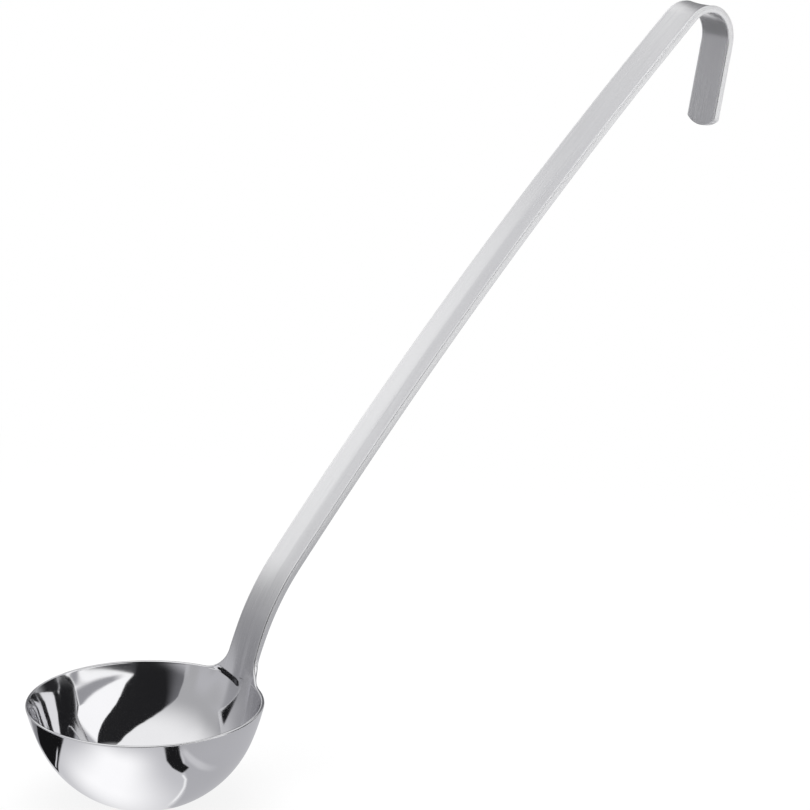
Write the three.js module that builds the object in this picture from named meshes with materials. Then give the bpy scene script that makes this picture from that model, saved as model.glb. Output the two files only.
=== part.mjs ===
// Soup ladle: a round bowl drawn from sheet steel, whose neck rises from the rim and is butt-welded
// to a flat strap handle that ends in an open hook. Millimetres, +Z up along the bowl's axis, +X
// towards the handle, mirror plane at Y = 0. The origin is the top of the hook's inside.
import * as THREE from "three";

// Bowl: a round bottom up to a wall of bottomAngle, then a flatter arc that turns wallBend more to the rim
const rimDiameter = 90;
const bowlDepth = 40.7;
const sheetThickness = 1.5;
const bottomAngle = 68;
const wallBend = 8;

// Strap: flat bar, bent only in the mirror plane; angles are from the horizontal, in degrees
const strapWidth = 15.6;
const strapThickness = 3;
const gripAngle = 46.9;
const shoulderAngle = 38.4;
const tailAngle = -102.4;
const kneeLength = 49;
const gripLength = 280.2;
const hookRadius = 14.8;
const tailLength = 34.6;
const tipDepth = 2.7;

// Neck: corner fillets on the rim, and the heights over which it gains the strap's thickness and flatness
const filletRadius = 9;
const thickenLength = 6;
const flattenLength = 22;

// Weld: a bead across the neck, ground flush
const weldDistance = 26;
const weldLength = 2;

// Rounding of every cut edge, limited by the thinnest wall
const edgeRadius = 0.6;
const largestEdgeShare = 0.4;

// Facets: furthest that a chord may lie from a bend, and the steps of the other curves
const chordError = 0.03;
const acrossSteps = 8;
const aroundSteps = 66;
const bottomSteps = 12;
const wallSteps = 3;
const filletSteps = 6;
const neckSteps = 9;
const edgeSteps = 2;

const radians = THREE.MathUtils.degToRad;
const upward = new THREE.Vector3(0, 0, 1);
const round = Math.min(edgeRadius, largestEdgeShare * Math.min(sheetThickness, strapThickness));

// The bowl's two arcs share a tangent, and together they reach the rim at the bowl's depth. A turn is the
// wall's angle, from 0 at the lowest point up to the rim.
const bottomTurn = radians(bottomAngle);
const rimTurn = radians(bottomAngle + wallBend);
const bottomShare = { across: Math.sin(bottomTurn), up: 1 - Math.cos(bottomTurn) };
const wallShare = {
  across: Math.sin(rimTurn) - Math.sin(bottomTurn),
  up: Math.cos(bottomTurn) - Math.cos(rimTurn),
};
const divisor = bottomShare.across * wallShare.up - wallShare.across * bottomShare.up;
const bottomRadius = ((rimDiameter / 2) * wallShare.up - bowlDepth * wallShare.across) / divisor;
const wallRadius = (bowlDepth * bottomShare.across - (rimDiameter / 2) * bottomShare.up) / divisor;

function wallPoint(inset, turn, azimuth) {
  const onBottom = turn < bottomTurn;
  const radius = (onBottom ? bottomRadius : wallRadius) - inset;
  const shift = onBottom ? 0 : bottomRadius - wallRadius;
  const reach = shift * Math.sin(bottomTurn) + radius * Math.sin(turn);
  const height = bottomRadius - bowlDepth - shift * Math.cos(bottomTurn) - radius * Math.cos(turn);
  return new THREE.Vector3(reach * Math.cos(azimuth), reach * Math.sin(azimuth), height);
}

const edgeTurn = rimTurn - round / wallRadius;
const rootPoint = wallPoint(sheetThickness, edgeTurn, 0);
const rootRadius = rootPoint.x;

// The front face of neck and handle in the mirror plane: runs of even bend, from the bowl's inside to the tip
class FrontLine {
  constructor(point, angle) {
    this.runs = [];
    this.end = { distance: 0, point, angle };
  }

  static along({ point, angle }, length, turn) {
    const chord = turn === 0 ? length : ((2 * length) / turn) * Math.sin(turn / 2);
    const heading = angle + turn / 2;
    const step = new THREE.Vector3(Math.cos(heading), 0, Math.sin(heading)).multiplyScalar(chord);
    return { point: step.add(point), angle: angle + turn };
  }

  bendTo(degrees, length) {
    const turn = radians(degrees) - this.end.angle;
    this.runs.push({ start: this.end, length, turn });
    this.end = { distance: this.end.distance + length, ...FrontLine.along(this.end, length, turn) };
    return this.end.distance;
  }

  at(distance) {
    const run = this.runs.findLast(({ start }) => start.distance <= distance) ?? this.runs[0];
    const length = distance - run.start.distance;
    return FrontLine.along(run.start, length, (run.turn * length) / run.length);
  }

  // Distances that keep every chord within chordError of the line
  stations(from, to) {
    const inner = this.runs.flatMap(({ start, length, turn }) => {
      const steps = Math.max(1, Math.ceil(Math.sqrt((length * Math.abs(turn)) / (8 * chordError))));
      return Array.from({ length: steps }, (_, step) => start.distance + (length * step) / steps);
    });
    return [from, ...inner.filter((distance) => distance > from && distance < to), to];
  }
}

const frontLine = new FrontLine(rootPoint, edgeTurn);
frontLine.bendTo(gripAngle, kneeLength);
frontLine.bendTo(shoulderAngle, gripLength);
const crownDistance = frontLine.bendTo(0, hookRadius * radians(shoulderAngle));
frontLine.bendTo(tailAngle, hookRadius * radians(-tailAngle));
const tipDistance = frontLine.bendTo(tailAngle, tailLength) - round;

// How the strip changes along that line
const filletReach = filletRadius + round;

function halfWidthAt(distance) {
  const drop = filletReach - Math.min(distance, filletReach);
  const flare = filletReach - Math.sqrt(filletReach ** 2 - drop ** 2);
  return strapWidth / 2 - round + flare;
}

function thicknessAt(distance) {
  const share = THREE.MathUtils.smoothstep(distance, 0, thickenLength);
  return THREE.MathUtils.lerp(sheetThickness, strapThickness, share);
}

function curlAt(distance) {
  return (1 - THREE.MathUtils.smoothstep(distance, 0, flattenLength)) / rootRadius;
}

// Points on the front and back face; across runs from -1 to 1 over the width, on the bowl's curve at the root
function stripPoints(distance, across) {
  const { point, angle } = frontLine.at(distance);
  const curl = curlAt(distance);
  const reach = across * halfWidthAt(distance);
  const swing = curl * reach;
  const sideways = curl === 0 ? reach : Math.sin(swing) / curl;
  const inward = curl === 0 ? 0 : (1 - Math.cos(swing)) / curl;
  const front = new THREE.Vector3(-inward, sideways, 0).add(point);
  const behind = new THREE.Vector3(Math.sin(angle), 0, -Math.cos(angle));
  behind.applyAxisAngle(upward, swing);
  return [front, front.clone().addScaledVector(behind, thicknessAt(distance))];
}

// A closed body of sheet: pairs of points on its two faces, joined by rows of quads and by rounded edges
class SheetBody {
  constructor() {
    this.points = [];
    this.triangles = [];
  }

  add(point) {
    return this.points.push(point) - 1;
  }

  pair([front, back]) {
    return { front: this.add(front), back: this.add(back) };
  }

  triangle(a, b, c) {
    if (a !== b && b !== c && c !== a) {
      this.triangles.push(a, b, c);
    }
  }

  quads(first, second) {
    for (let i = 0; i + 1 < first.length; i++) {
      this.triangle(first[i], first[i + 1], second[i + 1]);
      this.triangle(first[i], second[i + 1], second[i]);
    }
  }

  fan(loop) {
    for (let i = 1; i + 1 < loop.length; i++) {
      this.triangle(loop[0], loop[i], loop[i + 1]);
    }
  }

  faces(rows) {
    for (let i = 0; i + 1 < rows.length; i++) {
      this.quads(rows[i].map(({ back }) => back), rows[i + 1].map(({ back }) => back));
      this.quads(rows[i + 1].map(({ front }) => front), rows[i].map(({ front }) => front));
    }
  }

  // Rows of points over the edge, front to back, along an outline that runs anticlockwise seen from the front
  edge(outline) {
    const rows = outline.map((pair, i) => {
      const before = this.points[outline[Math.max(i - 1, 0)].front];
      const after = this.points[outline[Math.min(i + 1, outline.length - 1)].front];
      const front = this.points[pair.front];
      const behind = this.points[pair.back].clone().sub(front);
      const thickness = behind.length();
      behind.normalize();
      const outward = behind.clone().cross(after.clone().sub(before)).normalize();
      const arc = Array.from({ length: edgeSteps }, (_, step) => {
        const turn = (Math.PI / 2) * ((step + 1) / edgeSteps);
        return { depth: round * (1 - Math.cos(turn)), bulge: round * Math.sin(turn) };
      });
      const mirrored = arc.toReversed().map(({ depth, bulge }) => ({ depth: thickness - depth, bulge }));
      const over = [...arc, ...mirrored].map(({ depth, bulge }) => {
        return this.add(front.clone().addScaledVector(behind, depth).addScaledVector(outward, bulge));
      });
      return [pair.front, ...over, pair.back];
    });
    rows.slice(1).forEach((row, i) => this.quads(rows[i], row));
    return rows;
  }

  // Flat end across the strip, facing along it or back down it
  end(row, minusEdge, plusEdge, facesAlong) {
    const front = row.map((pair) => pair.front);
    const back = row.map((pair) => pair.back);
    if (facesAlong) {
      this.quads(back, front);
      this.fan(minusEdge);
      this.fan(plusEdge.toReversed());
    } else {
      this.quads(front, back);
      this.fan(minusEdge.toReversed());
      this.fan(plusEdge);
    }
  }

  mesh(name, color, roughness) {
    const geometry = new THREE.BufferGeometry();
    geometry.setFromPoints(this.points);
    geometry.setIndex(this.triangles);
    geometry.computeVertexNormals();
    const mesh = new THREE.Mesh(geometry, new THREE.MeshStandardMaterial({ color, roughness, metalness: 1 }));
    mesh.name = name;
    return mesh;
  }
}

const acrossPlaces = Array.from({ length: acrossSteps + 1 }, (_, step) => (2 * step) / acrossSteps - 1);

function straightRow(body, distance) {
  return acrossPlaces.map((across) => body.pair(stripPoints(distance, across)));
}

function straightRows(body, from, to) {
  return frontLine.stations(from, to).map((distance) => straightRow(body, distance));
}

// Bowl with its neck: the wall's rows close round the axis, and the neck's rows stand on part of the rim
function makeBowl() {
  const body = new SheetBody();
  const rootSwing = halfWidthAt(0) / rootRadius;
  const neckAzimuths = acrossPlaces.map((across) => across * rootSwing);
  const openSwing = 2 * (Math.PI - rootSwing);
  const openAzimuths = Array.from({ length: aroundSteps - 1 }, (_, step) => {
    return rootSwing + (openSwing * (step + 1)) / aroundSteps;
  });
  const azimuths = [...neckAzimuths, ...openAzimuths];

  const pole = body.pair([wallPoint(sheetThickness, 0, 0), wallPoint(0, 0, 0)]);
  const rows = [Array(azimuths.length + 1).fill(pole)];
  for (let step = 1; step <= bottomSteps + wallSteps; step++) {
    const onBottom = Math.min(step, bottomSteps) / bottomSteps;
    const onWall = Math.max(step - bottomSteps, 0) / wallSteps;
    const turn = bottomTurn * onBottom + (edgeTurn - bottomTurn) * onWall;
    const ring = azimuths.map((azimuth) => {
      return body.pair([wallPoint(sheetThickness, turn, azimuth), wallPoint(0, turn, azimuth)]);
    });
    rows.push([...ring, ring[0]]);
  }
  body.faces(rows);

  const rim = rows.at(-1);
  const neck = [rim.slice(0, acrossPlaces.length)];
  for (let step = 1; step <= filletSteps; step++) {
    const rise = 1 - Math.cos((Math.PI / 2) * (step / filletSteps));
    neck.push(straightRow(body, filletReach * rise));
  }
  for (let step = 1; step <= neckSteps; step++) {
    const share = step / neckSteps;
    neck.push(straightRow(body, THREE.MathUtils.lerp(filletReach, weldDistance, share)));
  }
  body.faces(neck);

  const down = neck.map((row) => row.at(-1)).toReversed();
  const around = rim.slice(acrossPlaces.length, -1);
  const up = neck.map((row) => row[0]);
  const edge = body.edge([...down, ...around, ...up]);
  body.end(neck.at(-1), edge.at(-1), edge[0], true);
  return body.mesh("bowl", 0xdcddde, 0.12);
}

function makeWeld() {
  const body = new SheetBody();
  const rows = straightRows(body, weldDistance, weldDistance + weldLength);
  body.faces(rows);
  const minusEdge = body.edge(rows.map((row) => row[0]));
  const plusEdge = body.edge(rows.map((row) => row.at(-1)).toReversed());
  body.end(rows[0], minusEdge[0], plusEdge.at(-1), false);
  body.end(rows.at(-1), minusEdge.at(-1), plusEdge[0], true);
  return body.mesh("neck_weld", 0xd2d3d5, 0.2);
}

// Handle: the strap from the weld to the tip, which is cut to a shallow arc across the strap
function makeHandle() {
  const body = new SheetBody();
  const halfWidth = halfWidthAt(tipDistance);
  const tipRadius = (halfWidth ** 2 + tipDepth ** 2) / (2 * tipDepth);
  const setback = (across) => tipRadius - Math.sqrt(tipRadius ** 2 - (across * halfWidth) ** 2);
  const rows = straightRows(body, weldDistance + weldLength, tipDistance - tipDepth - round);
  rows.push(acrossPlaces.map((across) => body.pair(stripPoints(tipDistance - setback(across), across))));
  body.faces(rows);
  const up = rows.map((row) => row[0]);
  const overTip = rows.at(-1).slice(1, -1);
  const down = rows.map((row) => row.at(-1)).toReversed();
  const edge = body.edge([...up, ...overTip, ...down]);
  body.end(rows[0], edge[0], edge.at(-1), false);
  return body.mesh("handle", 0xc6c7c9, 0.38);
}

const ladle = new THREE.Group();
const [, hookSeat] = stripPoints(crownDistance, 0);
ladle.position.copy(hookSeat).negate();
ladle.add(makeBowl(), makeWeld(), makeHandle());

export default ladle;
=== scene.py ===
"""Soup ladle in polished and satin steel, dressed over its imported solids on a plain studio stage."""

import math
from collections import namedtuple

import bpy
from mathutils import Matrix, Vector


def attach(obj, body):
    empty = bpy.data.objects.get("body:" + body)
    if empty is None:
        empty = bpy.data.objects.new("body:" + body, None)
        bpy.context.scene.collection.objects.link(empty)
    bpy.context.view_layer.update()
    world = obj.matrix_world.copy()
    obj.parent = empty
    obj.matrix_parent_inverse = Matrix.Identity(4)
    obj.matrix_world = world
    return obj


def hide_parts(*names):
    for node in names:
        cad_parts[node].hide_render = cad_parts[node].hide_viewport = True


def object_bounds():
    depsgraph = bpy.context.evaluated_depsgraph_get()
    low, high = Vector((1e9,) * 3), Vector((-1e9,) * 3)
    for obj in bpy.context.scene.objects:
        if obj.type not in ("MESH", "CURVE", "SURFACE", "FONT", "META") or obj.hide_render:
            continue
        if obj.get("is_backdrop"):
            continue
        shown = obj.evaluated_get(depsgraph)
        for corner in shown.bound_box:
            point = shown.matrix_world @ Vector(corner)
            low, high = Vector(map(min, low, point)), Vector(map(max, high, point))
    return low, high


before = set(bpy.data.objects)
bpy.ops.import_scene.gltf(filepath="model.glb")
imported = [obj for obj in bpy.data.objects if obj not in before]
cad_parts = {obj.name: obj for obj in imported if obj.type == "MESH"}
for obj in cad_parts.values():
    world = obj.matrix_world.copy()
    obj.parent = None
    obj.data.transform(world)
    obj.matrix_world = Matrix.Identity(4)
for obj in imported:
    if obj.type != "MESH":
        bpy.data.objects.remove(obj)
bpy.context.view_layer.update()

bl_info = {
    "name": "Soup Ladle",
    "version": (1, 0, 0),
    "blender": (4, 5, 0),
    "location": "View3D > Sidebar > Ladle",
    "description": "Builds a soup ladle from its bowl, neck weld and handle, and a studio stage for it",
    "category": "Add Mesh",
}


def length(name, description, default):
    return bpy.props.FloatProperty(
        name=name, description=description, default=default, min=0, unit="LENGTH", precision=5
    )


def angle(name, description, degrees):
    default = math.radians(degrees)
    return bpy.props.FloatProperty(name=name, description=description, default=default, subtype="ANGLE")


def share(name, description, default):
    return bpy.props.FloatProperty(
        name=name, description=description, default=default, min=0, max=1, subtype="FACTOR"
    )


def colour(name, description, default):
    return bpy.props.FloatVectorProperty(
        name=name, description=description, default=default, min=0, max=1, size=3, subtype="COLOR"
    )


class LadleSizes(bpy.types.PropertyGroup):
    """Driving sizes of the ladle; the strap's angles are from the horizontal."""

    rim_diameter: length("Rim diameter", "Across the bowl's outside at the rim", 0.09)
    bowl_depth: length("Bowl depth", "From the rim's plane to the bowl's lowest point", 0.0407)
    sheet_thickness: length("Sheet thickness", "Wall of the bowl", 0.0015)
    bottom_angle: angle("Bottom angle", "Wall where the bowl's round bottom ends", 68)
    wall_bend: angle("Wall bend", "How much more the wall turns from there to the rim", 8)
    strap_width: length("Strap width", "Width of the handle's bar", 0.0156)
    strap_thickness: length("Strap thickness", "Thickness of the handle's bar", 0.003)
    ridge_height: length("Ridge height", "How far the grip's front rises to a soft ridge", 0.0004)
    ridge_offset: length("Ridge offset", "Ridge to the right of the strap's middle", 0.0014)
    ridge_round: length("Ridge rounding", "Rounding of the ridge's top", 0.0012)
    hook_dish: length("Hook dish", "How far the hook's outside sinks between its edges", 0.0004)
    grip_angle: angle("Grip angle", "Strap at the foot of the grip", 46.9)
    shoulder_angle: angle("Shoulder angle", "Strap where the hook starts", 38.4)
    tail_angle: angle("Tail angle", "Strap along the hook's tail", -102.4)
    knee_length: length("Knee length", "Bend from the bowl's rim into the grip", 0.049)
    grip_length: length("Grip length", "Slightly bowed run from the knee to the hook", 0.2802)
    hook_radius: length("Hook radius", "Outside of the hook", 0.0148)
    tail_length: length("Tail length", "Straight end of the hook", 0.0346)
    tip_depth: length("Tip depth", "Height of the arc that the tail's end is cut to", 0.0027)
    fillet_radius: length("Fillet radius", "Corner between the rim and the neck", 0.009)
    thicken_length: length("Thickening length", "How far up the neck gains the strap's thickness", 0.006)
    flatten_length: length("Flattening length", "How far up the neck loses the rim's curve", 0.022)
    swell_height: length("Swell height", "How far the wall's inside swells below the rim", 0.0006)
    swell_drop: length("Swell drop", "How far below the rim the swell is highest", 0.006)
    swell_foot: length("Swell foot", "How far below the rim the swell ends", 0.02)
    rim_sink: share("Rim sink", "Share of the swell's height by which the rim lies back", 0.75)
    swell_start: angle("Swell start", "Where the swell starts, round the rim from the neck", 83)
    swell_full: angle("Swell full", "Where the swell is whole, round the rim from the neck", 103)
    foot_lean: length("Foot lean", "How far the neck's foot leans out of the bowl's wall", 0.0009)
    foot_drop: length("Foot drop", "How far below the rim the lean starts", 0.015)
    foot_rise: length("Foot rise", "How far above the rim the lean is whole", 0.004)
    foot_hold: length("Foot hold", "How far up the neck its foot's forms stay whole", 0.003)
    foot_fade: length("Foot fade", "How far to the right of the middle the lean fades out", 0.02)
    dip_depth: length("Dip depth", "How far the wall dips outwards below the lean", 0.0003)
    dip_drop: length("Dip drop", "How far below the rim the dip is deepest", 0.024)
    dip_reach: length("Dip reach", "Half of the dip's height", 0.011)
    fold_height: length("Fold height", "Step of the fold between the bowl's inside and the neck", 0.0002)
    fold_width: length("Fold width", "Width of the fold", 0.003)
    fold_drop: length("Fold drop", "How far the fold dips below the rim", 0.0027)
    fold_offset: length("Fold offset", "Lowest point of the fold, to the right of the middle", 0.002)
    fold_fade: length("Fold fade", "How far to the right of the middle the fold fades out", 0.003)
    fold_double: length("Fold doubling", "How far left of the middle the fold's step has doubled", 0.007)
    fold_round: length("Fold rounding", "Rounding of the fold's lowest point", 0.0008)
    fold_slope: share("Fold slope", "Rise of the fold towards the neck's edges", 0.3)
    weld_distance: length("Weld distance", "From the rim to the weld, along the neck", 0.026)
    weld_length: length("Weld length", "Width of the ground bead", 0.002)
    edge_radius: length("Edge radius", "Rounding of the cut edges", 0.0006)
    grip_radius: length("Grip radius", "Rounding of the strap's edges along the grip", 0.0004)
    edge_blend: length("Edge blend", "How far above the weld the grip's rounding is reached", 0.04)


class LadleFinish(bpy.types.PropertyGroup):
    """Colours and polish of the steel."""

    polish_colour: colour("Polish colour", "Steel of the bowl", (0.757, 0.756, 0.772))
    polish_roughness: share("Polish roughness", "Roughness of the bowl's mirror finish", 0.045)
    haze_spread: share("Haze spread", "How much the polish's roughness varies", 0.3)
    satin_start: length("Satin start", "How far below the rim the polish starts to turn to satin", 0.008)
    satin_full: length("Satin full", "How far above the rim the satin is whole", 0.016)
    satin_colour: colour("Satin colour", "Steel of the handle", (0.672, 0.672, 0.68))
    satin_dark: colour("Satin dark", "Steel in the deeper brush marks", (0.615, 0.615, 0.625))
    satin_roughness: share("Satin roughness", "Roughness of the brushed handle", 0.25)
    satin_scatter: share("Satin scatter", "Share of the light that the brushed grip scatters evenly", 0.18)
    stroke_spread: share("Stroke spread", "How much the strokes vary the satin's roughness", 0.16)
    cloud_spread: share("Cloud spread", "How much cloudy patches vary the satin's roughness", 0.06)
    worn_roughness: share("Worn roughness", "Roughness that worn edges add", 0.3)
    # The two sizes below bound both the rougher worn edges and the painted edge highlight.
    wear_and_highlight_start: length("Wear start", "How far up the strap its edges start to be worn", 0.13)
    wear_and_highlight_full: length("Wear full", "How far up the strap its edges are fully worn", 0.27)
    # Painted highlight: colour that lightens the strap's edges, standing in for the light their rounding
    # catches.
    edge_highlight_colour: colour("Edge colour", "Steel worn bright along the strap's edges", (0.95, 0.95, 0.96))
    weld_colour: colour("Weld colour", "Steel of the ground bead", (0.7, 0.695, 0.69))


class StageSettings(bpy.types.PropertyGroup):
    """Camera and studio; bearings are measured from the camera's own."""

    floor_colour: colour("Floor colour", "Paper under the ladle", (0.9, 0.9, 0.9))
    room_low: colour("Room low", "Room at eye level, as the steel mirrors it", (0.44, 0.44, 0.45))
    room_high: colour("Room high", "Room overhead, as the steel mirrors it", (0.95, 0.95, 0.95))
    lamp_size: length("Lamp size", "Across the soft lamp", 1.2)
    lamp_height: length("Lamp height", "Soft lamp above the rim", 1.6)
    lamp_power: bpy.props.FloatProperty(
        name="Lamp power", description="Soft lamp over the ladle", default=14, min=0, unit="POWER"
    )
    card_light: bpy.props.FloatProperty(
        name="Card light", description="Brightness of the cards and the room", default=1.13, min=0
    )
    focal_length: bpy.props.FloatProperty(
        name="Focal length", description="Camera lens in millimetres", default=159.177, min=1
    )
    view_azimuth: angle("View azimuth", "Camera round the bowl's axis, from +X", -130.8774)
    view_elevation: angle("View elevation", "Camera above the horizon", 16.3994)
    view_roll: angle("View roll", "Turn of the camera about its own axis", 0.6431)
    view_distance: length("View distance", "Camera to the point it looks at", 1.36931)
    view_target: bpy.props.FloatVectorProperty(
        name="View target",
        description="Point ahead of the camera, from the middle of the rim",
        default=(0.09, 0, 0.12),
        size=3,
        subtype="TRANSLATION",
    )
    view_slide: bpy.props.FloatVectorProperty(
        name="View slide",
        description="Camera's shift to its right and upwards",
        default=(0.028411, -0.018955),
        size=2,
        subtype="TRANSLATION",
    )


def smoothstep(value, low, high):
    step = min(max((value - low) / (high - low), 0), 1)
    return step * step * (3 - 2 * step)


Bearing = namedtuple("Bearing", "point angle")
Run = namedtuple("Run", "start distance length turn")


class FrontLine:
    """The strap's front face in the mirror plane: runs of even bend from the bowl's inside to the tip."""

    def __init__(self, point, angle):
        self.runs = []
        self.end = Bearing(point, angle)
        self.length = 0

    @staticmethod
    def along(start, length, turn):
        chord = 2 * length / turn * math.sin(turn / 2) if turn else length
        heading = start.angle + turn / 2
        step = Vector((math.cos(heading), 0, math.sin(heading)))
        return Bearing(start.point + step * chord, start.angle + turn)

    def bend_to(self, angle, length):
        run = Run(self.end, self.length, length, angle - self.end.angle)
        self.runs.append(run)
        self.end = self.along(run.start, run.length, run.turn)
        self.length += length
        return self.length

    def at(self, distance):
        passed = [run for run in self.runs if run.distance <= distance]
        run = passed[-1] if passed else self.runs[0]
        length = distance - run.distance
        return self.along(run.start, length, run.turn * length / run.length)


class LadleShape:
    """Every point of the ladle's skin from its driving sizes, with the hook's seat at the origin."""

    # Largest share of the thinner sheet that the rounding of its edge takes
    round_share = 0.4

    def __init__(self, sizes):
        self.sizes = sizes
        thinnest = min(sizes.sheet_thickness, sizes.strap_thickness)
        self.round = min(sizes.edge_radius, self.round_share * thinnest)
        rim_radius = sizes.rim_diameter / 2
        rim_turn = sizes.bottom_angle + sizes.wall_bend
        bottom_across, bottom_up = math.sin(sizes.bottom_angle), 1 - math.cos(sizes.bottom_angle)
        wall_across, wall_up = math.sin(rim_turn) - bottom_across, 1 - math.cos(rim_turn) - bottom_up
        divisor = bottom_across * wall_up - wall_across * bottom_up
        self.bottom_radius = (rim_radius * wall_up - sizes.bowl_depth * wall_across) / divisor
        self.wall_radius = (sizes.bowl_depth * bottom_across - rim_radius * bottom_up) / divisor
        self.edge_turn = rim_turn - self.round / self.wall_radius
        self.fillet_reach = sizes.fillet_radius + self.round
        self.shift = Vector()

        _, root = self.wall_points(self.edge_turn, 0)
        root += Vector((-math.sin(self.edge_turn), 0, math.cos(self.edge_turn))) * sizes.sheet_thickness
        self.root_radius = root.x
        self.line = FrontLine(root, self.edge_turn)
        self.line.bend_to(sizes.grip_angle, sizes.knee_length)
        self.line.bend_to(sizes.shoulder_angle, sizes.grip_length)
        crown_distance = self.line.bend_to(0, sizes.hook_radius * sizes.shoulder_angle)
        self.line.bend_to(sizes.tail_angle, -sizes.hook_radius * sizes.tail_angle)
        self.tip_distance = self.line.bend_to(sizes.tail_angle, sizes.tail_length) - self.round
        self.shift = -self.strip_points(crown_distance, 0)[1]

    def wall_points(self, turn, azimuth):
        """Inside and outside of the bowl where its wall stands at an angle of turn."""
        on_bottom = turn < self.sizes.bottom_angle
        radius = self.bottom_radius if on_bottom else self.wall_radius
        shift = self.bottom_radius - radius
        across = shift * math.sin(self.sizes.bottom_angle) + radius * math.sin(turn)
        height = self.bottom_radius - self.sizes.bowl_depth
        height -= shift * math.cos(self.sizes.bottom_angle) + radius * math.cos(turn)
        outside = Vector((across, 0, height))
        inside = outside + Vector((-math.sin(turn), 0, math.cos(turn))) * self.sizes.sheet_thickness
        distance = self.wall_distance(turn)
        around = math.remainder(azimuth, math.tau)
        rise = self.foot(around * across, distance) + self.swell(abs(around), distance)
        inside += (inside - outside).normalized() * rise
        swing = Matrix.Rotation(azimuth, 3, "Z")
        return swing @ inside + self.shift, swing @ outside + self.shift

    def foot(self, sideways, distance):
        """Rise of the inside at the neck's foot, which leans out above a dip, with a shallow fold."""
        sizes = self.sizes
        reach = math.hypot(sideways + sizes.fold_offset, sizes.fold_round)
        fold = sizes.fold_slope * reach - sizes.fold_drop
        half_fold = sizes.fold_width / 2
        step = sizes.fold_height * smoothstep(distance, fold - half_fold, fold + half_fold)
        step *= smoothstep(sideways, -sizes.fold_fade, 0)
        step *= 1 + (max(sideways, 0) / sizes.fold_double) ** 2
        lean = sizes.foot_lean * smoothstep(distance, -sizes.foot_drop, sizes.foot_rise)
        dip = sizes.dip_depth * (1 - smoothstep(abs(distance + sizes.dip_drop), 0, sizes.dip_reach))
        near = 1 - smoothstep(sideways, sizes.strap_width / 2, sizes.strap_width)
        near *= 1 - smoothstep(-sideways, sizes.strap_width / 2, sizes.foot_fade)
        near *= 1 - smoothstep(distance, sizes.foot_hold, sizes.weld_distance)
        return (step - lean - dip) * near

    def swell(self, azimuth, distance):
        """Rise of the slight swell below the rim, away from the neck, over which the wall flares out."""
        sizes = self.sizes
        flare = max(1 + distance / sizes.swell_drop, 0) ** 2
        fall = 1 - smoothstep(-distance, sizes.swell_drop, sizes.swell_foot)
        rise = (1 - sizes.rim_sink) * (1 - flare) * fall - sizes.rim_sink * flare
        return sizes.swell_height * rise * smoothstep(azimuth, sizes.swell_start, sizes.swell_full)

    def edge_round(self, distance):
        """Rounding of the edge, crisper along the grip."""
        start = self.sizes.weld_distance + self.sizes.weld_length
        crisp = smoothstep(distance, start, start + self.sizes.edge_blend)
        return self.round + (self.sizes.grip_radius - self.round) * crisp

    def wall_distance(self, turn):
        """Distance along the wall from the rim, negative below it."""
        bottom = self.sizes.bottom_angle
        on_wall = (max(turn, bottom) - self.edge_turn) * self.wall_radius
        return on_wall + min(turn - bottom, 0) * self.bottom_radius

    def half_width(self, distance):
        drop = self.fillet_reach - min(distance, self.fillet_reach)
        flare = self.fillet_reach - math.sqrt(self.fillet_reach**2 - drop**2)
        return self.sizes.strap_width / 2 - self.edge_round(distance) + flare

    def thickness(self, distance):
        gain = smoothstep(distance, 0, self.sizes.thicken_length)
        return self.sizes.sheet_thickness + (self.sizes.strap_thickness - self.sizes.sheet_thickness) * gain

    def strip_points(self, distance, across):
        bearing = self.line.at(distance)
        curl = (1 - smoothstep(distance, 0, self.sizes.flatten_length)) / self.root_radius
        reach = across * self.half_width(distance)
        swing = curl * reach
        sideways = math.sin(swing) / curl if curl else reach
        inward = (1 - math.cos(swing)) / curl if curl else 0
        behind = Vector((math.sin(bearing.angle), 0, -math.cos(bearing.angle)))
        behind.rotate(Matrix.Rotation(swing, 3, "Z"))
        proud = self.ridge(reach, distance) - self.dish(across, distance) + self.foot(reach, distance)
        face = bearing.point + Vector((-inward, sideways, 0)) + self.shift
        return face - behind * proud, face + behind * self.thickness(distance)

    def ridge(self, reach, distance):
        """Rise of the grip's front to a soft ridge beside its middle, none at the neck and the hook."""
        rounding = self.sizes.ridge_round
        top = -self.sizes.ridge_offset
        edge = math.copysign(self.sizes.strap_width / 2, reach - top)
        fall = (math.hypot(reach - top, rounding) - rounding) / abs(edge - top)
        start, whole, fading, gone = 0.012, 0.05, 0.2, 0.3
        grip = smoothstep(distance, start, whole) * (1 - smoothstep(distance, fading, gone))
        return self.sizes.ridge_height * max(1 - fall, 0) * grip

    def dish(self, across, distance):
        """Dip of the hook's outside between its edges."""
        bend, tail = self.line.runs[2].distance, self.line.runs[-1].distance
        start, whole = bend - 0.02, bend + 0.005
        fading, gone = tail - 0.008, tail + 0.012
        hook = smoothstep(distance, start, whole) * (1 - smoothstep(distance, fading, gone))
        return self.sizes.hook_dish * (1 - across**2) * hook


Corner = namedtuple("Corner", "vertex u v")
Pair = namedtuple("Pair", "front back")


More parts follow.
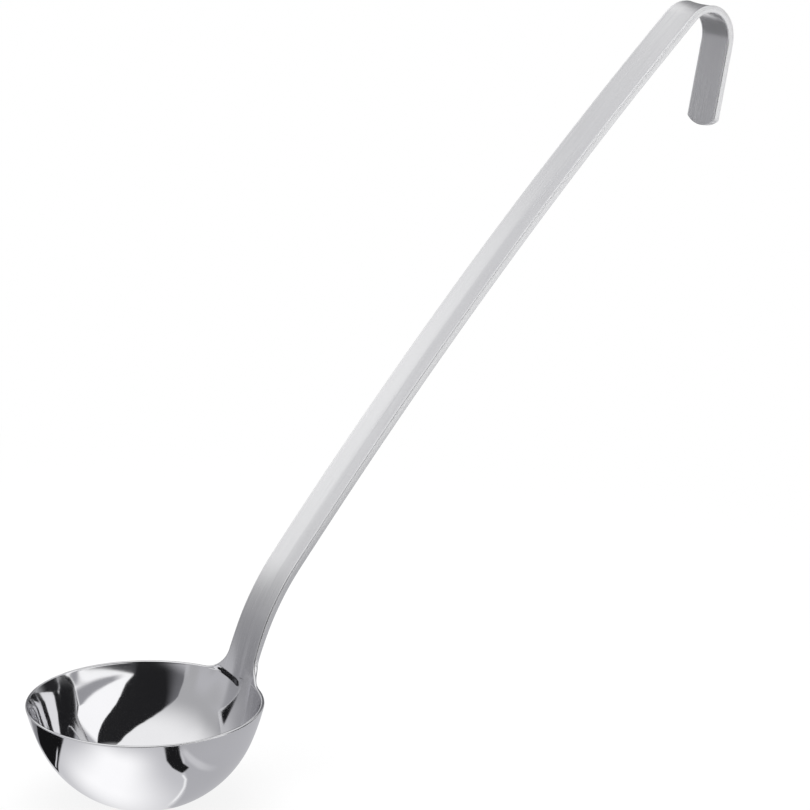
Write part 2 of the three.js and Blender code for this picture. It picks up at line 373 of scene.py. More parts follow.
class SheetMesh:
    """A closed skin over sheet metal: pairs of points on its faces, joined by quads and rounded edges."""

    edge_steps = 6
    # Largest share of the thickness that a rounding takes where the sheet is thinned
    edge_share = 0.48

    def __init__(self, shape):
        self.shape = shape
        self.points = []
        self.faces = []
        self.creases = set()

    def corner(self, point, u, v):
        self.points.append(point)
        return Corner(len(self.points) - 1, u, v)

    def pair(self, points, u, v):
        front, back = points
        return Pair(self.corner(front, u, v), self.corner(back, u, v))

    def strip_row(self, distances, places):
        row = []
        for distance, across in zip(distances, places):
            u = across * self.shape.half_width(distance)
            row.append(self.pair(self.shape.strip_points(distance, across), u, distance))
        return row

    def face(self, *corners):
        distinct = [corner for i, corner in enumerate(corners) if corner.vertex != corners[i - 1].vertex]
        if len(distinct) > 2:
            self.faces.append(distinct)

    def quads(self, first, second):
        for i in range(len(first) - 1):
            self.face(first[i], first[i + 1], second[i + 1], second[i])

    def skins(self, rows):
        for low, high in zip(rows, rows[1:]):
            self.quads([pair.back for pair in low], [pair.back for pair in high])
            self.quads([pair.front for pair in high], [pair.front for pair in low])

    def edge(self, outline):
        """Rows over the edge, front to back, along an outline that is anticlockwise from the front."""
        rows = []
        for i, pair in enumerate(outline):
            before = outline[max(i - 1, 0)].front
            after = outline[min(i + 1, len(outline) - 1)].front
            front = self.points[pair.front.vertex]
            behind = self.points[pair.back.vertex] - front
            thickness = behind.length
            behind.normalize()
            outward = behind.cross(self.points[after.vertex] - self.points[before.vertex]).normalized()
            unrolled = Vector((before.v - after.v, after.u - before.u)).normalized()
            row = [pair.front]
            radius = min(self.shape.edge_round(pair.front.v), self.edge_share * thickness)
            for depth, bulge, travel in self.bead(thickness, radius):
                point = front + behind * depth + outward * bulge
                u = pair.front.u + unrolled.x * travel
                v = pair.front.v + unrolled.y * travel
                row.append(self.corner(point, u, v))
            row.append(pair.back)
            rows.append(row)
        for low, high in zip(rows, rows[1:]):
            self.quads(low, high)
        return rows

    def bead(self, thickness, radius):
        turns = [math.pi / 2 * (step + 1) / self.edge_steps for step in range(self.edge_steps)]
        arc = [(radius * (1 - math.cos(turn)), radius * math.sin(turn), radius * turn) for turn in turns]
        whole = 2 * arc[-1][2] + thickness - 2 * radius
        return arc + [(thickness - depth, bulge, whole - travel) for depth, bulge, travel in reversed(arc)]

    def end(self, row, minus_edge, plus_edge, faces_along):
        """Flat end across the strip, facing along it or back down it."""
        loop = [pair.front for pair in row] + plus_edge[1:-1] + [pair.back for pair in reversed(row)]
        loop += list(reversed(minus_edge[1:-1]))
        vertices = [corner.vertex for corner in loop]
        self.creases.update(frozenset(side) for side in zip(vertices, vertices[1:] + vertices[:1]))
        front = [pair.front for pair in row]
        back = [pair.back for pair in row]
        if faces_along:
            self.quads(back, front)
            self.face(*minus_edge)
            self.face(*reversed(plus_edge))
        else:
            self.quads(front, back)
            self.face(*reversed(minus_edge))
            self.face(*plus_edge)

    def build(self, name, material):
        mesh = bpy.data.meshes.new(name)
        mesh.from_pydata(self.points, [], [[corner.vertex for corner in face] for face in self.faces])
        unrolled = mesh.uv_layers.new(name="unrolled")
        corners = [corner for face in self.faces for corner in face]
        for loop, corner in zip(unrolled.data, corners):
            loop.uv = (corner.u, corner.v)
        mesh.shade_smooth()
        for edge in mesh.edges:
            edge.use_edge_sharp = frozenset(edge.vertices) in self.creases
        mesh.materials.append(material)
        if mesh.validate():
            raise RuntimeError(f"{name} has faces that don't close")
        piece = bpy.data.objects.new(name, mesh)
        bpy.context.scene.collection.objects.link(piece)
        return piece


def even_steps(low, high, steps):
    return [low + (high - low) * step / steps for step in range(steps + 1)]


STRAP_STEPS = 56
ACROSS = even_steps(-1, 1, STRAP_STEPS)
RIM_STEPS = 220
BOTTOM_STEPS = 52
WALL_STEPS = 44
FILLET_STEPS = 18
NECK_STEPS = 30
WELD_STEPS = 6
RUN_STEPS = (20, 90, 16, 40, 12)


def bowl_mesh(shape):
    """Bowl with its neck: the wall's rings close round the axis, and the neck stands on part of the rim."""
    body = SheetMesh(shape)
    weld = shape.sizes.weld_distance
    root_swing = shape.half_width(0) / shape.root_radius
    azimuths = [across * root_swing for across in ACROSS]
    azimuths += even_steps(root_swing, math.tau - root_swing, RIM_STEPS)[1:]
    arcs = [azimuth * shape.root_radius for azimuth in azimuths]

    pole_points = shape.wall_points(0, 0)
    pole = [body.corner(point, 0, 0) for point in pole_points]
    rows = []
    bottom = shape.sizes.bottom_angle
    turns = even_steps(0, bottom, BOTTOM_STEPS) + even_steps(bottom, shape.edge_turn, WALL_STEPS)[1:]
    for turn in turns:
        depth = shape.wall_distance(turn)
        if turn == 0:
            ring = [Pair(*(Corner(corner.vertex, arc, depth) for corner in pole)) for arc in arcs]
        else:
            places = zip(azimuths[:-1], arcs)
            ring = [body.pair(shape.wall_points(turn, azimuth), arc, depth) for azimuth, arc in places]
            ring.append(Pair(*(Corner(corner.vertex, arcs[-1], depth) for corner in ring[0])))
        rows.append(ring)
    body.skins(rows)

    rim = rows[-1]
    neck = [rim[: len(ACROSS)]]
    rises = [1 - math.cos(math.pi / 2 * step) for step in even_steps(0, 1, FILLET_STEPS)[1:]]
    heights = [shape.fillet_reach * rise for rise in rises]
    heights += even_steps(shape.fillet_reach, weld, NECK_STEPS)[1:]
    for height in heights:
        neck.append(body.strip_row([height] * len(ACROSS), ACROSS))
    body.skins(neck)

    down = [row[-1] for row in reversed(neck)]
    around = rim[len(ACROSS) : -1]
    lap = math.tau * shape.root_radius
    up = [Pair(*(Corner(corner.vertex, corner.u + lap, corner.v) for corner in row[0])) for row in neck]
    edge = body.edge(down + around + up)
    body.end(neck[-1], edge[-1], edge[0], True)
    return body


def weld_mesh(shape):
    """The bead across the neck, ground flush with both sides."""
    body = SheetMesh(shape)
    start = shape.sizes.weld_distance
    heights = even_steps(start, start + shape.sizes.weld_length, WELD_STEPS)
    rows = [body.strip_row([height] * len(ACROSS), ACROSS) for height in heights]
    body.skins(rows)
    minus_edge = body.edge([row[0] for row in rows])
    plus_edge = body.edge([row[-1] for row in reversed(rows)])
    body.end(rows[0], minus_edge[0], plus_edge[-1], False)
    body.end(rows[-1], minus_edge[-1], plus_edge[0], True)
    return body


def handle_mesh(shape):
    """The strap from the weld to the tip, which is cut to a shallow arc."""
    body = SheetMesh(shape)
    sizes = shape.sizes
    start = sizes.weld_distance + sizes.weld_length
    half_width = shape.half_width(shape.tip_distance)
    tip_radius = (half_width**2 + sizes.tip_depth**2) / (2 * sizes.tip_depth)
    stop = shape.tip_distance - sizes.tip_depth - shape.round
    marks = [run.distance for run in shape.line.runs if start < run.distance < stop]
    spans = [start] + marks + [stop]
    distances = [start]
    for low, high, count in zip(spans, spans[1:], RUN_STEPS):
        distances += even_steps(low, high, count)[1:]
    rows = [body.strip_row([distance] * len(ACROSS), ACROSS) for distance in distances]
    setbacks = [tip_radius - math.sqrt(tip_radius**2 - (across * half_width) ** 2) for across in ACROSS]
    rows.append(body.strip_row([shape.tip_distance - setback for setback in setbacks], ACROSS))
    body.skins(rows)
    up = [row[0] for row in rows]
    down = [row[-1] for row in reversed(rows)]
    edge = body.edge(up + rows[-1][1:-1] + down)
    body.end(rows[0], edge[0], edge[-1], False)
    return body


class Signal:
    """A node's output; arithmetic on it adds Math nodes."""

    def __init__(self, board, socket):
        self.board = board
        self.socket = socket

    def math(self, operation, first, second=0.0):
        return self.board.node("ShaderNodeMath", {"operation": operation}, {0: first, 1: second})

    def __add__(self, other):
        return self.math("ADD", self, other)

    def __radd__(self, other):
        return self.math("ADD", other, self)

    def __sub__(self, other):
        return self.math("SUBTRACT", self, other)

    def __rsub__(self, other):
        return self.math("SUBTRACT", other, self)

    def __mul__(self, other):
        return self.math("MULTIPLY", self, other)

    def __rmul__(self, other):
        return self.math("MULTIPLY", other, self)

    def __abs__(self):
        return self.math("ABSOLUTE", self)

    def highest(self, other):
        return self.math("MAXIMUM", self, other)

    def ramp(self, low, high):
        """0 below low, 1 above high and smooth between; falls where low is above high."""
        settings = {"interpolation_type": "SMOOTHSTEP"}
        inputs = {"Value": self, "From Min": low, "From Max": high}
        return self.board.node("ShaderNodeMapRange", settings, inputs)


class NodeBoard:
    """Adds the nodes of one material or world."""

    def __init__(self, tree):
        self.tree = tree
        self.tree.nodes.clear()

    def node(self, kind, settings=None, inputs=None, output=0):
        node = self.tree.nodes.new(kind)
        for name, value in (settings or {}).items():
            setattr(node, name, value)
        for name, value in (inputs or {}).items():
            if isinstance(value, Signal):
                self.tree.links.new(value.socket, node.inputs[name])
            else:
                node.inputs[name].default_value = value
        return Signal(self, node.outputs[output])

    def place(self):
        """Place on the unrolled sheet or card."""
        return self.node("ShaderNodeUVMap", {"uv_map": "unrolled"})

    def part(self, vector, axis):
        """One part of a vector: X, Y or Z."""
        return self.node("ShaderNodeSeparateXYZ", {}, {"Vector": vector}, axis)

    def marks(self, across, along, detail, roughness=0.5):
        """Noise over the unrolled sheet, by its marks per metre across and along the strap."""
        scaled = {0: self.place(), 1: (across, along, 1)}
        place = self.node("ShaderNodeVectorMath", {"operation": "MULTIPLY"}, scaled)
        inputs = {"Vector": place, "Scale": 1.0, "Detail": detail, "Roughness": roughness}
        return self.node("ShaderNodeTexNoise", {}, inputs)

    def blend(self, factor, first, second):
        """Colour that goes from first to second as factor rises."""
        return self.node("ShaderNodeMix", {"data_type": "RGBA"}, {"Factor": factor, 6: first, 7: second}, 2)

    def finish(self, shader, kind="ShaderNodeOutputMaterial"):
        output = self.tree.nodes.new(kind)
        self.tree.links.new(shader.socket, output.inputs["Surface"])


def new_board(name):
    material = bpy.data.materials.new(name)
    material.use_nodes = True
    return material, NodeBoard(material.node_tree)


def opaque(shade, level=1.0):
    return (*(level * part for part in shade), 1)


Steel = namedtuple("Steel", "board material shade metallic roughness height")


def steel(name, sizes, finish):
    """Mirror polish in the bowl that turns to satin up the neck, brushed along the strap, with a painted
    highlight lightening the strap's edges.
    """
    material, board = new_board(name)
    place = board.place()
    past_edge = abs(board.part(place, "X")) - sizes.strap_width / 2
    along = board.part(place, "Y")
    satin = along.ramp(-finish.satin_start, finish.satin_full)

    rings = board.marks(12, 2600, detail=3)
    haze = board.marks(45, 60, detail=4, roughness=0.6)
    ring_rough = rings * 0.012
    uneven = 1 - finish.haze_spread + 2 * finish.haze_spread * haze
    polish_rough = finish.polish_roughness * uneven + ring_rough
    dim, bright = (opaque(finish.polish_colour, level) for level in (0.97, 1.03))
    polish = board.blend(haze, dim, bright)

    fine = board.marks(5200, 45, detail=3)
    coarse = board.marks(1500, 14, detail=2)
    cloud = board.marks(70, 16, detail=3)
    scratch = board.marks(2400, 9, detail=0).ramp(0.7, 0.78)
    smooth_side = past_edge.ramp(-0.0004, 0.0002) * 0.8
    strokes = (fine * 0.55 + coarse * 0.45 - 0.5) * (1 - smooth_side) + 0.5
    edge = past_edge.ramp(-0.001, -0.0003) * past_edge.ramp(0.0012, 0.0004)
    # Painted highlight: a thin bright line just inside each edge of the strap.
    margin_highlight = past_edge.ramp(-0.0009, -0.0006) * past_edge.ramp(-0.0002, -0.0005)
    # Edges up the strap: rougher from wear, and also lightened by the painted highlight.
    worn = edge * along.ramp(finish.wear_and_highlight_start, finish.wear_and_highlight_full)
    brush_rough = (strokes - 0.5) * finish.stroke_spread + (cloud - 0.5) * finish.cloud_spread
    edge_rough = worn * finish.worn_roughness + edge * 0.04
    satin_rough = finish.satin_roughness + brush_rough + edge_rough
    brushed = board.blend(strokes.ramp(0.3, 0.62), opaque(finish.satin_dark), opaque(finish.satin_colour))
    # Painted highlight along the strap's edges and the line inside them, blended into the satin's colour.
    painted_edge_highlight = (margin_highlight * 0.3).highest(worn * 0.5)
    brushed = board.blend(painted_edge_highlight, brushed, opaque(finish.edge_highlight_colour))

    shade = board.blend(satin, polish, brushed)
    roughness = polish_rough + (satin_rough - polish_rough) * satin
    scatter_start, scatter_full = 0.03, 0.09
    metallic = 1 - along.ramp(scatter_start, scatter_full) * finish.satin_scatter
    polish_height, satin_height = rings * 0.3, strokes - scratch * 0.4
    height = polish_height * (1 - satin) + satin_height * satin
    return Steel(board, material, shade, metallic, roughness, height)


def steel_surface(metal):
    """Joins the steel's shade, roughness and marks in one shader."""
    board = metal.board
    bump = board.node("ShaderNodeBump", {}, {"Strength": 0.4, "Distance": 4e-6, "Height": metal.height})
    inputs = {"Base Color": metal.shade, "Metallic": metal.metallic}
    inputs.update({"Roughness": metal.roughness, "Normal": bump})
    board.finish(board.node("ShaderNodeBsdfPrincipled", {}, inputs))
    return metal.material


def bare_steel(name, sizes, finish):
    """The steel as it is on the bowl and the handle."""
    return steel_surface(steel(name, sizes, finish))


def ground_steel(name, sizes, finish):
    """The steel of the weld: faint cross marks of the grinder and a trace of heat tint."""
    metal = steel(name, sizes, finish)
    board = metal.board
    grinding = board.marks(160, 5200, detail=3)
    beads = board.marks(260, 700, detail=2)
    shade = board.blend(beads.ramp(0.4, 0.8) * 0.3, metal.shade, opaque(finish.weld_colour))
    roughness = metal.roughness + (grinding - 0.5) * 0.05
    height = metal.height + grinding * 0.3
    return steel_surface(metal._replace(shade=shade, roughness=roughness, height=height))


def stand_in(piece, node):
    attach(piece, "root")
    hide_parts(node)


class MakeBowl(bpy.types.Operator):
    """Build the polished bowl with its neck"""

    bl_idname = "ladle.make_bowl"
    bl_label = "Bowl"

    def execute(self, context):
        sizes = context.scene.ladle_sizes
        material = bare_steel("bowl_steel", sizes, context.scene.ladle_finish)
        stand_in(bowl_mesh(LadleShape(sizes)).build("bowl_and_neck", material), "bowl")
        return {"FINISHED"}


class MakeWeld(bpy.types.Operator):
    """Build the ground weld across the neck"""

    bl_idname = "ladle.make_weld"
    bl_label = "Neck weld"

    def execute(self, context):
        sizes = context.scene.ladle_sizes
        material = ground_steel("weld_steel", sizes, context.scene.ladle_finish)
        stand_in(weld_mesh(LadleShape(sizes)).build("ground_weld", material), "neck_weld")
        return {"FINISHED"}


class MakeHandle(bpy.types.Operator):
    """Build the satin strap handle with its hook"""

    bl_idname = "ladle.make_handle"
    bl_label = "Handle"

    def execute(self, context):
        sizes = context.scene.ladle_sizes
        material = bare_steel("handle_steel", sizes, context.scene.ladle_finish)
        stand_in(handle_mesh(LadleShape(sizes)).build("strap_handle", material), "handle")
        return {"FINISHED"}


def paper_floor(shade):
    """Pale paper that keeps the ladle's shadow near it and goes to plain white further off."""
    material, board = new_board("floor_paper")
    rays = ("Is Camera Ray", "Is Glossy Ray", "Is Transmission Ray")
    camera, glossy, through = (board.node("ShaderNodeLightPath", {}, {}, ray) for ray in rays)
    seen = camera.highest(glossy).highest(through)
    place = board.node("ShaderNodeTexCoord", {}, {}, "Object")
    distance = board.node("ShaderNodeVectorMath", {"operation": "LENGTH"}, {0: place}, "Value")
    shadow_share = 0.16
    shadow_reach, white_reach = 0.1, 0.5
    plain = distance.ramp(shadow_reach, white_reach) * shadow_share + (1 - shadow_share)
    paper = board.node("ShaderNodeBsdfDiffuse", {}, {"Color": opaque(shade)})
    white = board.node("ShaderNodeEmission", {}, {"Color": (1, 1, 1, 1), "Strength": 1.0})
    board.finish(board.node("ShaderNodeMixShader", {}, {0: seen * plain, 1: paper, 2: white}))
    return material


def cool_grey(level):
    """Grey that is a trace bluer the darker it is."""
    most_blue = 0.08
    return (level, level, level * (1 + most_blue * max(1 - level, 0)), 1)


def card_material(name, levels, soft, light):
    """Card that goes from one grey to another up its height and fades out at its edges."""
    material, board = new_board(name)
    place = board.place()
    u, v = board.part(place, "X"), board.part(place, "Y")
    start, end, low, high = soft
    shown = u.ramp(0, start) * u.ramp(1, 1 - end) * v.ramp(0, low) * v.ramp(1, 1 - high)
    clear = board.node("ShaderNodeBsdfTransparent")
    greys = [{"Color": cool_grey(level), "Strength": light} for level in levels]
    lower, upper = (board.node("ShaderNodeEmission", {}, grey) for grey in greys)
    grey = board.node("ShaderNodeMixShader", {}, {0: v, 1: lower, 2: upper})
    board.finish(board.node("ShaderNodeMixShader", {}, {0: shown, 1: clear, 2: grey}))
    return material


def towards(azimuth, elevation):
    """Unit vector at an azimuth and an elevation."""
    level = math.cos(elevation)
    return Vector((level * math.cos(azimuth), level * math.sin(azimuth), math.sin(elevation)))


class Studio:
    """Cards round the ladle that only its steel mirrors; places are from the middle of the rim."""

    card_steps = (60, 12)

    def __init__(self, settings, centre, floor_height):
        self.settings = settings
        self.centre = centre
        self.floor_height = floor_height

    def direction(self, bearing, elevation):
        return towards(self.settings.view_azimuth + math.radians(bearing), math.radians(elevation))

    def card(self, name, levels, soft, spot, low, high):
        """A curved card between two lines of places, with a grey at each and four sides that fade out."""
        points, faces, places = [], [], []
        across, up = self.card_steps
        for i in range(across + 1):
            start, stop = self.on_line(low, i / across), self.on_line(high, i / across)
            for j in range(up + 1):
                points.append(spot(*start.lerp(stop, j / up)))
                places.append((i / across, j / up))
        for i in range(across):
            for j in range(up):
                k = i * (up + 1) + j
                faces.append((k, k + up + 1, k + up + 2, k + 1))
        mesh = bpy.data.meshes.new(name)
        mesh.from_pydata(points, [], faces)
        unrolled = mesh.uv_layers.new(name="unrolled")
        for loop, corner in zip(unrolled.data, mesh.loops):
            loop.uv = places[corner.vertex_index]
        mesh.materials.append(card_material(name, levels, soft, self.settings.card_light))
        card = bpy.data.objects.new(name, mesh)
        bpy.context.scene.collection.objects.link(card)
        card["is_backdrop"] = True
        card.visible_camera = False
        card.visible_shadow = False
        card.visible_diffuse = False

    @staticmethod
    def on_line(places, share):
        step = share * (len(places) - 1)
        first = min(int(step), len(places) - 2)
        return Vector(places[first]).lerp(Vector(places[first + 1]), step - first)

    def far(self, radius):
        """Places by bearing and elevation, at one distance all round."""
        return lambda bearing, elevation: self.centre + self.direction(bearing, elevation) * radius

    def near(self, lift):
        """Places over the floor: to the camera's right and towards it."""
        right, toward = self.direction(90, 0), self.direction(0, 0)
        foot = Vector((self.centre.x, self.centre.y, self.floor_height + lift))
        return lambda x, y: foot + right * x + toward * y


def studio_world(world, settings):
    """White to the camera; polished steel sees a room that grows lighter overhead."""
    world.use_nodes = True
    board = NodeBoard(world.node_tree)
    place = board.node("ShaderNodeTexCoord", {}, {}, "Generated")
    height = board.part(place, "Z")
    camera = board.node("ShaderNodeLightPath", {}, {}, "Is Camera Ray")
    low, high = (opaque(shade, settings.card_light) for shade in (settings.room_low, settings.room_high))
    room = board.blend(height.ramp(0.35, 0.85), low, high)
    shade = board.blend(camera, room, (1, 1, 1, 1))
    background = board.node("ShaderNodeBackground", {}, {"Color": shade, "Strength": 1.0})
    board.finish(background, "ShaderNodeOutputWorld")


# Cards all round: name, greys at both lines, how far in each side fades, distance, low line, high line
FAR_CARDS = (
    ("right_panel", (1.08, 1.08), (0.02, 0.06, 0.02, 0.02), 3.3,
     [(12, 9), (30, 6), (45, 4), (60, 2), (75, 1), (95, 1)],
     [(12, 22), (30, 28), (45, 38), (60, 44), (75, 48), (95, 50)]),
    ("right_dim", (0.4, 0.5), (0.12, 0.3, 0.1, 0.3), 3.2,
     [(91, 15), (110, 18), (140, 18)],
     [(93, 48), (112, 72), (140, 74)]),
    ("arch_flag", (0.016, 0.016), (0.01, 0.1, 0.02, 0.06), 3.1,
     [(16, -1), (15, 13), (25, 16.5), (34, 22), (40, 27.5), (50, 33), (60, 36.5),
      (75, 41.5), (92, 46), (112, 50)],
     [(-38, -1), (-37, 14), (-33, 21), (-27, 29), (-19, 37.5), (-8, 45), (5, 51), (30, 58.5),
      (60, 63), (90, 62)]),
    ("arch_edge", (0.15, 0.15), (0.02, 0.5, 0.9, 0.06), 3.0,
     [(-12, 2), (-16, 14), (-18, 20), (-18, 28), (-16, 36)],
     [(-38, 2), (-37, 14), (-33, 21), (-27, 29), (-19, 37.5)]),
    ("arch_foot", (0.58, 0.58), (0.85, 0.05, 0.02, 0.6), 2.9,
     [(0, -1), (-20, -1), (-42, -1)],
     [(0, 10), (-20, 11.5), (-42, 13)]),
    ("panel_stripe", (0.32, 0.34), (0.2, 0.08, 0.3, 0.2), 3.0,
     [(22, 12.4), (40, 11.4), (51, 10.3), (65, 9), (76, 7.6), (84, 6.4)],
     [(22, 14), (40, 14.9), (51, 15.4), (65, 15.5), (76, 15.1), (84, 14.6)]),
    ("toe_flag", (0.03, 0.05), (0.02, 0.05, 0.02, 0.05), 2.9,
     [(8, -1), (29, -1), (49, -1), (60, -1), (70, -1), (92, -1)],
     [(13, 14), (29, 11.3), (49, 7.6), (60, 5.6), (70, 3.9), (92, 1)]),
    ("right_flag", (0.02, 0.02), (0.05, 0.15, 0.06, 0.12), 2.8,
     [(83, 6.5), (86, 4), (90, 2.5), (100, -1), (112, -1), (140, -1)],
     [(83, 13), (87, 17), (91, 21), (97, 25), (108, 28), (140, 30)]),
    ("left_low", (0.5, 0.5), (0.15, 0.15, 0.02, 0.4), 3.1,
     [(-50, -1), (-70, -1), (-92, -1)],
     [(-46, 18), (-70, 18), (-92, 16)]),
    ("left_dim", (0.3, 0.36), (0.25, 0.3, 0.02, 0.6), 3.0,
     [(-84, -1), (-100, -1), (-124, -1)],
     [(-86, 18), (-100, 28), (-124, 18)]),
    ("left_softbox", (0.95, 1.2), (0.25, 0.2, 0.4, 0.04), 2.9,
     [(-104, 20), (-111, 20), (-118, 18), (-125, 18), (-132, 18), (-150, 16)],
     [(-108, 36.5), (-115, 40), (-123, 43.5), (-129, 44), (-134, 43), (-150, 41)]),
    ("left_upper", (0.62, 0.74), (0.1, 0.15, 0.06, 0.3), 3.0,
     [(-104, 35), (-108, 36.5), (-115, 40), (-123, 43.5), (-129, 44), (-134, 43), (-150, 41)],
     [(-104, 62), (-108, 64), (-115, 66), (-123, 68), (-129, 68), (-134, 68), (-150, 66)]),
    ("back_flag", (0.1, 0.2), (0.2, 0.2, 0.02, 0.3), 3.0,
     [(148, -1), (180, -1), (208, -1)],
     [(148, 30), (180, 40), (208, 42)]),
)

# Cards on the floor: the same, with a height above the floor for the distance
FLOOR_CARDS = (
    ("back_floor", (0.12, 0.12), (0.15, 0.15, 0.2, 0.3), 0.0004,
     [(-1.0, -0.12), (-0.4, -0.09), (0.2, -0.09)],
     [(-1.0, -0.9), (-0.4, -0.7), (0.2, -0.5)]),
    ("right_floor", (0.9, 1.25), (0.2, 0.2, 0.15, 0.2), 0.0003,
     [(0.45, 0.7), (0.45, -0.2), (0.45, -1.2)],
     [(2.4, 1.6), (2.4, -0.2), (2.4, -2.2)]),
    ("right_near", (0.3, 1.05), (0.2, 0.2, 0.1, 0.2), 0.0004,
     [(0.16, 0.4), (0.16, -0.1), (0.16, -0.6)],
     [(0.66, 0.7), (0.66, -0.1), (0.66, -0.9)]),
    ("left_floor", (0.3, 0.3), (0.1, 0.2, 0.2, 0.2), 0.0003,
     [(-0.14, -0.6), (-1.2, -1.8), (-3.0, -2.6)],
     [(-0.14, 0.3), (-1.2, 0.6), (-3.0, 1.0)]),
    ("paper_near", (0.6, 0.6), (0.2, 0.2, 0.2, 0.2), 0.0002,
     [(-0.25, -0.25), (0.25, -0.25)],
     [(-0.25, 0.25), (0.25, 0.25)]),
    ("paper_glow", (1.12, 1.12), (0.45, 0.4, 0.4, 0.3), 0.0004,
     [(-0.075, 0.0), (0.03, 0.0)],
     [(-0.065, 0.085), (0.02, 0.085)]),
    ("paper_grey", (0.46, 0.6), (0.02, 0.1, 0.008, 0.5), 0.0005,
     [(0.009, 0.016), (0.02, 0.026), (0.0275, 0.035), (0.03, 0.0425), (0.036, 0.052),
      (0.038, 0.066), (0.06, 0.12)],
     [(0.1, -0.6), (0.25, -0.3), (0.3, -0.1), (0.3, 0), (0.3, 0.1), (0.3, 0.2), (0.3, 0.3)]),
    ("paper_gleam", (0.62, 0.62), (0.3, 0.4, 0.4, 0.4), 0.0006,
     [(0.036, 0.066), (0.037, 0.048), (0.043, 0.012)],
     [(0.044, 0.066), (0.046, 0.048), (0.052, 0.012)]),
    ("paper_line", (0.95, 0.95), (0.1, 0.2, 0.5, 0.5), 0.0007,
     [(0.0275, 0.044), (0.0265, 0.037), (0.0225, 0.031), (0.0165, 0.0255), (0.008, 0.0185)],
     [(0.03, 0.042), (0.029, 0.035), (0.0245, 0.0285), (0.0185, 0.023), (0.01, 0.0155)]),
    ("paper_strip", (0.012, 0.012), (0.01, 0.05, 0.12, 0.12), 0.0008,
     [(0.027, 0.09), (0.0235, 0.072), (0.0215, 0.06), (0.024, 0.052), (0.0295, 0.0425)],
     [(0.05, 0.086), (0.0405, 0.067), (0.0365, 0.058), (0.0345, 0.05), (0.0365, 0.0425)]),
    ("left_patch", (0.008, 0.008), (0.04, 0.04, 0.04, 0.06), 0.0008,
     [(-0.073, 0.034), (-0.056, 0.0125), (-0.041, -0.006)],
     [(-0.12, 0.02), (-0.12, -0.02), (-0.058, -0.033)]),
    ("left_shade", (0.2, 0.3), (0.2, 0.2, 0.1, 0.4), 0.0006,
     [(-0.12, -0.02), (-0.08, -0.025), (-0.05, -0.028)],
     [(-0.12, -0.06), (-0.08, -0.06), (-0.05, -0.05)]),
    ("left_glint", (0.6, 0.6), (0.25, 0.1, 0.3, 0.3), 0.0009,
     [(-0.067, 0.0185), (-0.055, 0.0065), (-0.045, -0.0055)],
     [(-0.0685, 0.0165), (-0.0565, 0.0045), (-0.0465, -0.0075)]),
)


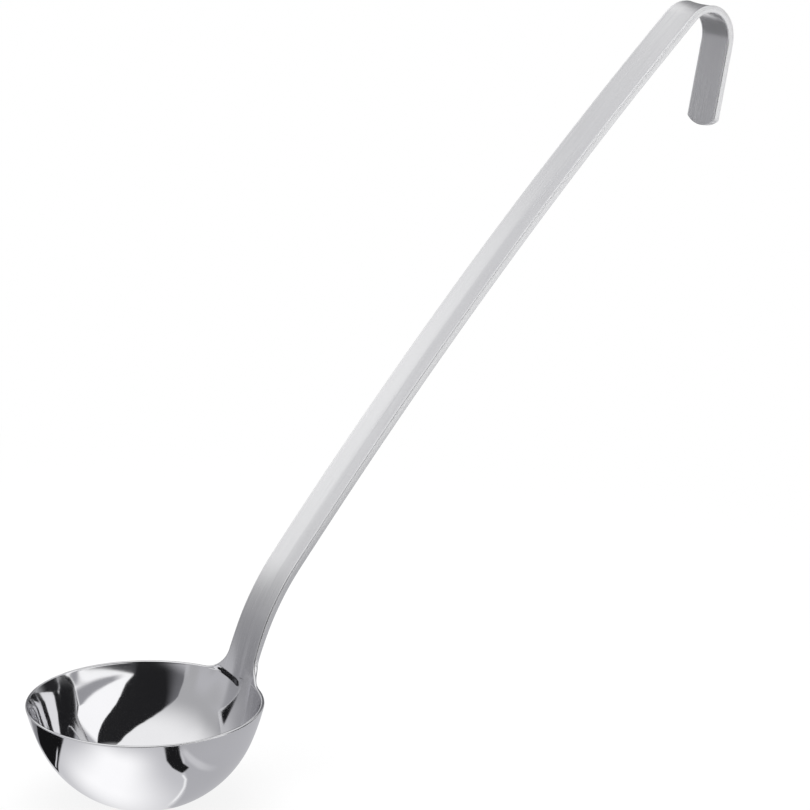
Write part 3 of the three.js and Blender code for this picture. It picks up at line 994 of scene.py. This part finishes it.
class SetStage(bpy.types.Operator):
    """Set the floor, the light, the cards that the polish mirrors and the camera"""

    bl_idname = "ladle.set_stage"
    bl_label = "Stage"

    def execute(self, context):
        settings = context.scene.ladle_stage
        centre = LadleShape(context.scene.ladle_sizes).shift
        low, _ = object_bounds()
        self.lay_floor(settings, centre, low.z)
        self.hang_lamp(settings, centre)
        self.place_cards(Studio(settings, centre, low.z))
        self.set_camera(context.scene, settings, centre)
        world = bpy.data.worlds.new("studio")
        studio_world(world, settings)
        context.scene.world = world
        context.scene.view_settings.view_transform = "Standard"
        context.scene.cycles.glossy_bounces = 10
        return {"FINISHED"}

    def lay_floor(self, settings, centre, height):
        mesh = bpy.data.meshes.new("floor")
        reach = 12.0
        corners = [(-reach, -reach, 0), (reach, -reach, 0), (reach, reach, 0), (-reach, reach, 0)]
        mesh.from_pydata(corners, [], [(0, 1, 2, 3)])
        mesh.materials.append(paper_floor(settings.floor_colour))
        floor = bpy.data.objects.new("floor", mesh)
        floor.location = (centre.x, centre.y, height)
        bpy.context.scene.collection.objects.link(floor)
        floor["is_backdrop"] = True

    def hang_lamp(self, settings, centre):
        data = bpy.data.lights.new("soft_lamp", "AREA")
        data.energy = settings.lamp_power
        data.shape = "DISK"
        data.size = settings.lamp_size
        lamp = bpy.data.objects.new("soft_lamp", data)
        lamp.location = centre + Vector((0, 0, settings.lamp_height))
        lamp.rotation_mode = "QUATERNION"
        lamp.rotation_quaternion = (centre - lamp.location).to_track_quat("-Z", "Y")
        lamp.visible_glossy = False
        bpy.context.scene.collection.objects.link(lamp)

    def place_cards(self, studio):
        for name, levels, soft, radius, low, high in FAR_CARDS:
            studio.card(name, levels, soft, studio.far(radius), low, high)
        for name, levels, soft, lift, low, high in FLOOR_CARDS:
            studio.card(name, levels, soft, studio.near(lift), low, high)

    def set_camera(self, scene, settings, centre):
        azimuth = settings.view_azimuth
        back = towards(azimuth, settings.view_elevation)
        right = Vector((-math.sin(azimuth), math.cos(azimuth), 0))
        up = back.cross(right)
        data = bpy.data.cameras.new("camera")
        data.lens = settings.focal_length
        camera = bpy.data.objects.new("camera", data)
        upright = Matrix((right, up, back)).transposed()
        camera.rotation_mode = "QUATERNION"
        camera.rotation_quaternion = (upright @ Matrix.Rotation(settings.view_roll, 3, "Z")).to_quaternion()
        target = centre + Vector(settings.view_target)
        slide = right * settings.view_slide[0] + up * settings.view_slide[1]
        camera.location = target + back * settings.view_distance + slide
        scene.collection.objects.link(camera)
        scene.camera = camera


class LadlePanel(bpy.types.Panel):
    """Lists the pieces of the ladle and their sizes"""

    bl_idname = "VIEW3D_PT_ladle"
    bl_label = "Soup Ladle"
    bl_space_type = "VIEW_3D"
    bl_region_type = "UI"
    bl_category = "Ladle"

    def draw(self, context):
        for step in STEPS:
            self.layout.operator(step.bl_idname)
        for group in (context.scene.ladle_sizes, context.scene.ladle_finish, context.scene.ladle_stage):
            column = self.layout.column()
            for name in group.bl_rna.properties.keys():
                if name not in ("name", "rna_type"):
                    column.prop(group, name)


STEPS = (MakeBowl, MakeWeld, MakeHandle, SetStage)
GROUPS = {"ladle_sizes": LadleSizes, "ladle_finish": LadleFinish, "ladle_stage": StageSettings}


def register():
    for cls in (*GROUPS.values(), *STEPS, LadlePanel):
        bpy.utils.register_class(cls)
    for name, group in GROUPS.items():
        setattr(bpy.types.Scene, name, bpy.props.PointerProperty(type=group))


def unregister():
    for name in GROUPS:
        delattr(bpy.types.Scene, name)
    for cls in reversed((*GROUPS.values(), *STEPS, LadlePanel)):
        bpy.utils.unregister_class(cls)


def main():
    register()
    bpy.ops.ladle.make_bowl()
    bpy.ops.ladle.make_weld()
    bpy.ops.ladle.make_handle()
    bpy.ops.ladle.set_stage()


if __name__ == "__main__":
    main()
